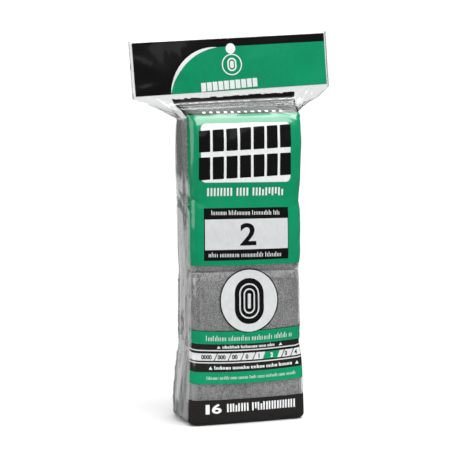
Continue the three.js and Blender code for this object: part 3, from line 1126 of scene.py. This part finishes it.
class PadPackPanel(bpy.types.Operator):
    """Print the upper panel: shoulders, green field, white square and two rows of equal slabs."""

    bl_idname = "pad_pack.panel"
    bl_label = "Upper panel print"

    def execute(self, context):
        shoulder_low = 271.4
        printed("shoulder_black", "black", 0, (band, shoulder_low, SEAL_FILM - 8.6))
        printed("panel_green", "green", 0, (plate, -PRINT_HALF, PRINT_HALF, 139.4, shoulder_low, 4.0),
                (band, 200.0, shoulder_low + 0.15))

        marks = start_artwork("shoulder_marks")
        rng = np.random.default_rng(8)
        across = -38.0
        while across < 36.0:
            wide = rng.uniform(2.2, 3.4)
            plate(across, across + wide, 273.4, 273.4 + rng.uniform(1.6, 2.4))
            across += wide + 3.7
        finish_print(marks, "white", 1)

        printed("panel_square", "white", 1, (plate, -42.7, 39.7, 211.0, 262.5, 4.5))

        slabs = start_artwork("panel_slabs")
        self.slab_row(-44.6, 237.2, 19.4)
        self.slab_row(-44.6, 213.2, 19.4)
        finish_print(slabs, "black", 2)

        rng = np.random.default_rng(21)
        printed("panel_words", "white", 1, (bar_groups, rng, (4, 2, 5), -37.0, 199.3, 7.0, 1.6, 6.0))
        return {"FINISHED"}

    def slab_row(self, start, low, height):
        """Equal plain slabs, evenly spaced, in a row that climbs to the right."""
        count, wide, gap, climb = 7, 10.2, 2.2, 0.05
        for number in range(count):
            across = start + number * (wide + gap)
            rise = low + (across - start) * climb
            plate(across, across + wide, rise, rise + height, tilt=math.atan(climb), corner=0.8)



def bar_groups(rng, groups, left, low, height, stroke, pitch, climb=0.0):
    """Groups of heavy plain bars, in the place of a heavy line of print."""
    across = left
    for group in groups:
        for _ in range(group):
            rise = low + (across - left) * climb
            short = height * rng.choice([0.0, 0.0, 0.22])
            below = rng.integers(0, 2)
            plate(across, across + stroke, rise, rise + height)
            plate(across + stroke * 1.9, across + stroke * 2.9, rise + short * below,
                  rise + height - short * (1 - below))
            across += pitch
        across += pitch * 0.45


class PadPackLabel(bpy.types.Operator):
    """Print the grade label: two black bands and a white box with a large figure."""

    bl_idname = "pad_pack.label"
    bl_label = "Grade label print"

    def execute(self, context):
        left, right = -40.3, 37.6
        printed("label_black", "black", 1, (plate, left, right, 143.8, 188.8))
        printed("label_box", "white", 2, (plate, left + 0.9, right - 0.6, 152.9, 179.2), shade="pale")
        rng = np.random.default_rng(31)
        printed("label_words", "white", 2, (greeked, rng, -33.5, 31.5, 182.6, 4.1, 0.62, -0.012),
                (greeked, rng, -36.0, 34.5, 146.4, 4.1, 0.62, -0.012))
        figure = numerals("label_figure", "2", 0.0, 165.9, 19.3, 14.8, 0.62)
        finish_print(figure, "black", 3)
        return {"FINISHED"}


class PadPackBadge(bpy.types.Operator):
    """Print the round badge with a plain drawing of a rolled pad."""

    bl_idname = "pad_pack.badge"
    bl_label = "Badge print"

    def execute(self, context):
        across, up, radius = 0.8, 109.3, 27.2
        points = 128
        printed("badge_rim", "black", 0, (disc, across, up, radius, 0.0, points))
        printed("badge_face", "white", 1, (disc, across, up, radius - 1.1, 0.0, points), shade="pale")
        printed("badge_drawing", "black", 2,
                (plate, across - 13.5, across + 13.5, up - 19.5, up + 19.0, 13.0))
        printed("badge_turns", "white", 3,
                (outline, across - 9.3, across + 9.3, up - 15.0, up + 14.6, 8.9, 1.25),
                (outline, across - 5.3, across + 5.3, up - 10.8, up + 10.4, 5.1, 1.25),
                (plate, across - 1.4, across + 1.4, up - 6.6, up + 6.2, 1.3), shade="pale")
        return {"FINISHED"}


class PadPackScale(bpy.types.Operator):
    """Print the grade scale: green, black and white bands with a row of grade figures."""

    bl_idname = "pad_pack.scale"
    bl_label = "Grade scale print"

    def execute(self, context):
        printed("scale_green", "green", 0, (band, 72.8, 83.8), (band, 37.5, 48.3))
        # the lower black bands take the lighter black of painted sheen
        printed("scale_black", "black", 0, (band, 48.3, 72.8), (band, 83.8, 84.4), shade="thin_black")
        printed("scale_white", "white", 1, (band, 66.7, 67.7), (band, 58.4, 64.6), (band, 56.0, 57.0),
                shade="pale")
        printed("scale_marker", "green", 2, (plate, 13.0, 26.6, 58.35, 64.65, 0.0, 2.7))

        slashes = start_artwork("scale_slashes")
        for across in (-31.9, -19.3, -7.4, 3.6, 30.6, 39.4):
            plate(across - 0.4, across + 0.4, 58.4, 64.6, slant=3.2)
        bpy.ops.object.mode_set(mode="OBJECT")
        middle, height, bold = 61.4, 3.9, 0.2
        join(slashes, [numerals("grade", grade, across, middle, height, wide, bold)
                       for grade, across, wide in GRADES])
        finish_print(slashes, "black", 2)
        chosen = numerals("scale_chosen_figure", "2", 21.6, middle, height, 2.4, bold)
        finish_print(chosen, "white", 3)

        rng = np.random.default_rng(41)
        lines = ((-39.0, 42.0, 75.6, 4.6, 0.5), (-24.0, 26.0, 69.0, 2.7, 0.7), (-32.0, 41.0, 50.6, 3.1, 0.8),
                 (-39.0, 44.0, 41.6, 3.1, 0.34))
        arrows = ((-29.0, 69.0, 2.4), (28.5, 69.0, 2.4), (-37.0, 50.6, 2.8), (43.5, 50.6, 2.8))
        printed("scale_words", "white", 1, *[(greeked, rng, *line) for line in lines],
                *[(wedge, ((across, up), (across + 3.2, up), (across + 1.6, up + tall)))
                  for across, up, tall in arrows])
        return {"FINISHED"}


class PadPackCount(bpy.types.Operator):
    """Print the black foot band, which wraps under the bag, with the count of pads."""

    bl_idname = "pad_pack.count"
    bl_label = "Count band print"

    def execute(self, context):
        # the foot band takes the lighter black of painted sheen
        printed("count_band", "black", 0, (band, -15.0, 23.0), shade="thin_black")
        count = numerals("count_figure", "1", -38.6, 14.6, 8.6, 3.6, 0.3)
        join(count, [numerals("second", "6", -30.3, 14.9, 8.8, 8.8, 0.3)])
        finish_print(count, "white", 1)
        rng = np.random.default_rng(51)
        printed("count_words", "white", 1, (bar_groups, rng, (4, 8), -21.0, 11.2, 7.6, 1.45, 5.2, 0.004))
        return {"FINISHED"}


# ---------------------------------------------------------------- the pads
def squared(share):
    """Pushes a round edge out towards a square one."""
    return np.sign(share) * np.abs(share) ** 0.5


def pad_section(half_height, half_thick, face_points, end_points):
    """A flat roll's outline in the plane across its length: two straight faces and two round edges.

    Returns places (y, z) and, for each, how much it belongs to the front and back faces.
    """
    straight = half_height - half_thick
    faces = np.linspace(-straight, straight, face_points)
    turns = np.linspace(0, math.pi, end_points + 2)[1:-1]
    across, up = half_thick * squared(np.cos(turns)), straight + half_thick * squared(np.sin(turns))
    flat = np.full(face_points, half_thick)
    y = np.concatenate([-flat, -across, flat, across])
    z = np.concatenate([faces, up, faces[::-1], -up])
    flatness = np.clip((straight + half_thick * 0.7 - np.abs(z)) / 4.0, 0, 1)
    front, back = [np.where(y * side > 0, flatness, 0.0) * np.clip(y * side / half_thick, 0, 1) ** 4
                   for side in (-1, 1)]
    return y, z, front, back


def pad_surface(rng, low, high, front_shows, back_shows, length):
    """A pad's grid and its quads: a flat-rolled ribbon with ridged faces and a spiral at each end."""
    face_points, end_points, stations, rings = FINE_PAD if front_shows or back_shows else PLAIN_PAD
    half_height = (high.z - low.z) / MM / 2 + 0.4
    half_thick = (high.y - low.y) / MM / 2 + 0.3
    straight = half_height - half_thick
    middle_y, middle_z = (high.y + low.y) / MM / 2, (high.z + low.z) / MM / 2
    y0, z0, front, back = pad_section(half_height, half_thick, face_points, end_points)
    along = np.linspace(-1, 1, stations)
    along = (np.sign(along) * (1 - (1 - np.abs(along)) ** 1.25))[:, None]
    ridge = waves(rng, 7, 3.2, 10.0)
    broad = waves(rng, 5, 18.0, 60.0)
    fuzz = waves(rng, 14, 2.4, 5.0)
    reach = body_size(middle_z + z0)[0] - 1.3 + rng.uniform(-0.5, 0.3)
    x = along * np.minimum(reach, length / 2)
    taper = 1 - smoothstep(np.abs(along), 0.88, 1.0) * 0.16
    y = y0 * taper
    z = z0 * (1 - (1 - taper) * 0.12)
    bend = broad(x * 0.6, z) * 2.2
    swell = 0.16 * ridge(x + bend, z * 0.10) + 0.12 * fuzz(x, z) + 0.12 * broad(x, z)
    edge = 1 - (front + back)
    rounding = np.stack([np.where(edge > 0, y0, 0), z0 - np.sign(z0) * straight])
    rounding /= np.maximum(np.linalg.norm(rounding, axis=0), 1e-6)
    y = middle_y + y + swell * (np.sign(y0) * (front + back) + edge * rounding[0])
    z = middle_z + z + swell * 0.6 * edge * rounding[1]
    # the faces that show are pressed against the film
    for shows, weight, side in ((front_shows, front, -1.0), (back_shows, back, 1.0)):
        if shows:
            gap = np.clip((film_depth(x, z, side) - y) * side - FILM_GAP - 0.5 * swell, -1.2, 2.6)
            y = y + side * gap * weight * (1 - smoothstep(np.abs(x), 44.0, 50.0))
    x, y = inside_bag(x, y, z)
    body = np.stack([x, y, z], -1)
    # the ends close in rings, with a groove where one turn of the ribbon meets the next
    lap = half_thick / 3.0
    around = np.linspace(0, 1, len(y0), endpoint=False)
    end_noise = waves(rng, 12, 2.2, 7.0)
    caps = []
    for side, section in ((-1, body[0]), (1, body[-1])):
        made = []
        spine = np.clip(section[:, 2] - middle_z, -straight, straight)
        core = np.stack([section[:, 0], np.full_like(spine, middle_y), middle_z + spine * 0.985], -1)
        for ring in range(1, rings + 1):
            share = ring / rings
            shrunk = section * (1 - share) + core * share
            groove = np.exp(-((((share * half_thick / lap + around) % 1.0) - 0.5) / 0.16) ** 2)
            crown = 1.5 * math.sin(min(1.0, share * 1.6) * math.pi / 2)
            rough = 0.4 * end_noise(shrunk[:, 1] * 1.4, shrunk[:, 2])
            shrunk[:, 0] += side * (crown - 1.3 * groove * min(1.0, share * 3) + rough)
            made.append(shrunk)
        caps.append(np.array(made))
    grid = np.concatenate([caps[0][::-1], body, caps[1]])
    rows, columns = grid.shape[:2]
    index = np.arange(rows * columns).reshape(rows, columns)
    after = np.roll(index, -1, 1)
    quads = np.stack([index[:-1], index[1:], after[1:], after[:-1]], -1).reshape(-1, 4)
    return grid, quads


def inside_bag(x, y, z):
    """Draws points in from the film's round corners and sides, and spreads them at the left foot."""
    half_width, half_depth = body_size(z)
    room = 1.5
    x = np.clip(x, -(half_width - room), half_width - room)
    radius = np.where(y < 0, FRONT_CORNER, BACK_CORNER)
    aside = np.maximum(np.abs(x) - (half_width - radius), 0)
    deep = np.maximum(np.abs(y) - (half_depth - radius), 0)
    distance = np.hypot(aside, deep)
    share = np.where((aside > 0) & (deep > 0) & (distance > radius - room),
                     (radius - room) / np.maximum(distance, 1e-6), 1.0)
    x = np.where(share < 1, np.sign(x) * (half_width - radius + aside * share), x)
    y = np.where(share < 1, np.sign(y) * (half_depth - radius + deep * share), y)
    over = np.clip(z - CREST_START, 0, CREST_RADIUS * 0.9)
    crest_depth = half_depth - CREST_RADIUS + np.sqrt(CREST_RADIUS ** 2 - over ** 2) - 0.9
    y = np.where(over > 0, np.clip(y, -crest_depth, crest_depth), y)
    spread = foot_flare(z) * smoothstep(-x, 20.0, 50.0) * smoothstep(y, *BEHIND_PRINT)
    return x - spread, y


def film_depth(across, up, side):
    """How far out the film's face lies, front or back, at places across and up."""
    film = Film.make()
    rows = film.flat[:, 0, 1]
    start, stop = (int(np.searchsorted(rows, height)) for height in (3.0, CREST_START))
    columns = film.points.shape[1]
    middle = 0 if side < 0 else columns // 2
    face = np.roll(film.points, -middle + columns // 4, 1)[start:stop, : columns // 2]
    if side > 0:
        face = face[:, ::-1]
    last = stop - start - 1.001
    heights = np.clip(np.interp(up, film.points[start:stop, middle, 2], np.arange(stop - start)), 0, last)
    spots = np.interp(across, face[10, :, 0], np.arange(face.shape[1]))
    row = heights.astype(int)
    column = np.clip(spots.astype(int), 0, face.shape[1] - 2)
    return between(face[..., 1], row, column, heights - row, spots - column)


def between(values, row, column, row_share, column_share):
    """Values of a grid at places between its rows and columns."""
    first = values[row, column] * (1 - column_share) + values[row, column + 1] * column_share
    second = values[row + 1, column] * (1 - column_share) + values[row + 1, column + 1] * column_share
    return first * (1 - row_share) + second * row_share


def strands(rng, count, place, width, longest, stretch):
    """Loose fibres as thin three-sided tubes that wander over a patch of surface.

    place(a, b, lift) gives points and normals for patch coordinates and heights over the patch.
    """
    steps, corners = 8, 3
    share = np.linspace(0, 1, steps)
    start_a, start_b = rng.uniform(0, 1, count), rng.uniform(-0.05, 1.0, count)
    length = rng.uniform(0.3, 1.0, count)[:, None] * longest
    drift = rng.normal(0, 0.35, count)[:, None]
    curl = rng.normal(0, 0.5, (count, 3))
    bends = 0.4 * curl[:, :1] * np.sin(share * 3.1) + 0.22 * curl[:, 1:2] * np.sin(share * 7.3)
    wander = drift * share + bends
    across = np.clip(start_a[:, None] + stretch * length * wander, 0.01, 0.99)
    along = np.clip(start_b[:, None] + length * share, 0.01, 0.99)
    lift = 0.12 + 0.35 * np.sin(share * math.pi) * rng.uniform(0.2, 1.0, count)[:, None]
    path, normal = place(across, along, lift)
    forward = unit(np.gradient(path, axis=1))
    side = unit(np.cross(forward, normal))
    up = np.cross(side, forward)
    radius = width / 2 * rng.uniform(0.6, 1.35, count)[:, None] * (1 - 0.75 * np.abs(share * 2 - 1) ** 3)
    angles = [2 * math.pi * corner / corners for corner in range(corners)]
    rings = [path + radius[..., None] * (side * math.cos(angle) + up * math.sin(angle)) for angle in angles]
    points = np.stack(rings, 2).reshape(-1, 3)
    index = np.arange(len(points)).reshape(count, steps, corners)
    after = np.roll(index, -1, 2)
    quads = np.stack([index[:, :-1], after[:, :-1], after[:, 1:], index[:, 1:]], -1).reshape(-1, 4)
    ends = np.concatenate([index[:, 0, ::-1], index[:, -1]])
    shade = np.repeat(rng.choice([-0.06, 0.03, 0.1, 0.2], count, p=[0.3, 0.3, 0.25, 0.15]), steps * corners)
    return points, quads.tolist() + ends.tolist(), shade


def patch_place(grid, rows, columns):
    """A function that gives points on a patch of a pad's grid, raised along its normals."""
    patch = grid[np.ix_(rows, columns)]
    normal = unit(np.cross(np.gradient(patch, axis=1), np.gradient(patch, axis=0)))
    outward = patch.mean((0, 1)) - grid.mean((0, 1))
    if (normal.mean((0, 1)) * outward).sum() < 0:
        normal = -normal

    def place(a, b, lift):
        rows, columns = [np.clip(share, 0, 0.999) * (count - 1) for share, count in zip((a, b), patch.shape)]
        row, column = rows.astype(int), columns.astype(int)
        shares = (rows - row)[..., None], (columns - column)[..., None]
        facing = between(normal, row, column, *shares)
        return between(patch, row, column, *shares) + facing * lift[..., None], facing

    return place


class PadPackWool(bpy.types.Operator):
    """Make the sixteen rolled steel wool pads with their loose fibres."""

    bl_idname = "pad_pack.wool"
    bl_label = "Steel wool pads"

    def execute(self, context):
        sizes, colours = context.scene.pad_pack_sizes, context.scene.pad_pack_colours
        material = wool_material("steel_wool", colours.steel_wool)
        for tier in range(1, TIERS + 1):
            for row in range(1, ROWS + 1):
                self.pad(tier, row, sizes, material)
        return {"FINISHED"}

    def pad(self, tier, row, sizes, material):
        node = f"wool_pad_tier{tier}_row{row}"
        low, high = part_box(node)
        rng = np.random.default_rng(100 + tier * 10 + row)
        front, back = row == 1, row == ROWS
        face_points, end_points, _, rings = FINE_PAD if front or back else PLAIN_PAD
        grid, quads = pad_surface(rng, low, high, front, back, sizes.pad_length / MM)
        points = [grid.reshape(-1, 3)]
        offset = len(points[0])
        columns = grid.shape[1]
        faces = quads.tolist() + close_ring(list(range(columns)), False)
        faces += close_ring(list(range(offset - columns, offset)), True)
        # the pads' ends are painted lighter, more on the lower tiers: painted light for the light that falls
        # on the bag's left side
        painted_end_light = 0.26 if tier == TIERS else 0.42
        shade = [rng.uniform(-0.02, 0.02) + painted_end_light * smoothstep(np.abs(points[0][:, 0]), 46.0, 49.5)]

        # patches of loose fibres: rows and columns of the grid, how many fibres, how long and how slanting
        back_start = face_points + end_points
        face_rows = np.arange(len(grid))[np.abs(grid[:, 0, 0]) < 49]
        front_columns = np.arange(1, face_points - 1)
        back_columns = np.arange(back_start + 1, back_start + face_points - 1)
        patches = []
        if front:
            patches.append((face_rows, front_columns, sizes.face_fibres, 0.5, 0.34))
        if back:
            patches.append((face_rows, back_columns, sizes.face_fibres, 0.5, 0.34))
        if tier == TIERS:
            patches.append((face_rows, np.arange(face_points - 1, back_start + 1), TOP_FIBRES, 0.9, 0.1))
        for end_rows in (np.arange(1, rings), np.arange(len(grid) - rings, len(grid) - 1)):
            for end_columns in (front_columns, back_columns):
                patches.append((end_rows, end_columns, sizes.end_fibres // 2, 0.35, 0.8))
        for patch_rows, patch_columns, count, longest, stretch in patches:
            place = patch_place(grid, patch_rows, patch_columns)
            fibre_points, fibre_faces, fibre_shade = strands(
                rng, count, place, sizes.fibre_width / MM, longest, stretch)
            points.append(fibre_points)
            faces += [[corner + offset for corner in face] for face in fibre_faces]
            shade.append(fibre_shade)
            offset += len(fibre_points)
        pad = mesh_piece(node.replace("wool_pad", "steel_wool_pad"), np.concatenate(points), faces)
        attribute = pad.data.attributes.new("shade", "FLOAT", "POINT")
        attribute.data.foreach_set("value", np.concatenate(shade).astype(np.float32))
        pad.data.materials.append(material)
        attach(pad, "root")
        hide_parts(node)


def close_ring(ring, forward):
    """Faces across a flat ring whose two long sides already lie together."""
    count = len(ring)
    faces = [[ring[i], ring[i + 1], ring[count - 2 - i], ring[count - 1 - i]] for i in range(count // 2 - 1)]
    return [face[::-1] for face in faces] if forward else faces


# ---------------------------------------------------------------- sidebar, registration and the run
class PadPackSidebar(bpy.types.Panel):
    """Lists the pack's pieces in the 3D view's sidebar."""

    bl_idname = "VIEW3D_PT_pad_pack"
    bl_label = "Steel Wool Pad Pack"
    bl_space_type = "VIEW_3D"
    bl_region_type = "UI"
    bl_category = "Pad Pack"

    def draw(self, context):
        layout = self.layout
        for group in (context.scene.pad_pack_sizes, context.scene.pad_pack_colours):
            column = layout.column()
            for name in group.__annotations__:
                column.prop(group, name)
        for operator in OPERATORS:
            layout.operator(operator.bl_idname)


OPERATORS = (
    PadPackStage, PadPackFilm, PadPackHeader, PadPackPanel, PadPackLabel, PadPackBadge, PadPackScale,
    PadPackCount, PadPackWool,
)
CLASSES = (PadPackSizes, PadPackColours, *OPERATORS, PadPackSidebar)


def register():
    for found in CLASSES:
        bpy.utils.register_class(found)
    bpy.types.Scene.pad_pack_sizes = PointerProperty(type=PadPackSizes)
    bpy.types.Scene.pad_pack_colours = PointerProperty(type=PadPackColours)


def unregister():
    del bpy.types.Scene.pad_pack_colours
    del bpy.types.Scene.pad_pack_sizes
    for found in reversed(CLASSES):
        bpy.utils.unregister_class(found)


def main():
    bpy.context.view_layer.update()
    register()
    for operator in OPERATORS:
        family, name = operator.bl_idname.split(".")
        getattr(getattr(bpy.ops, family), name)()


if __name__ == "__main__":
    main()
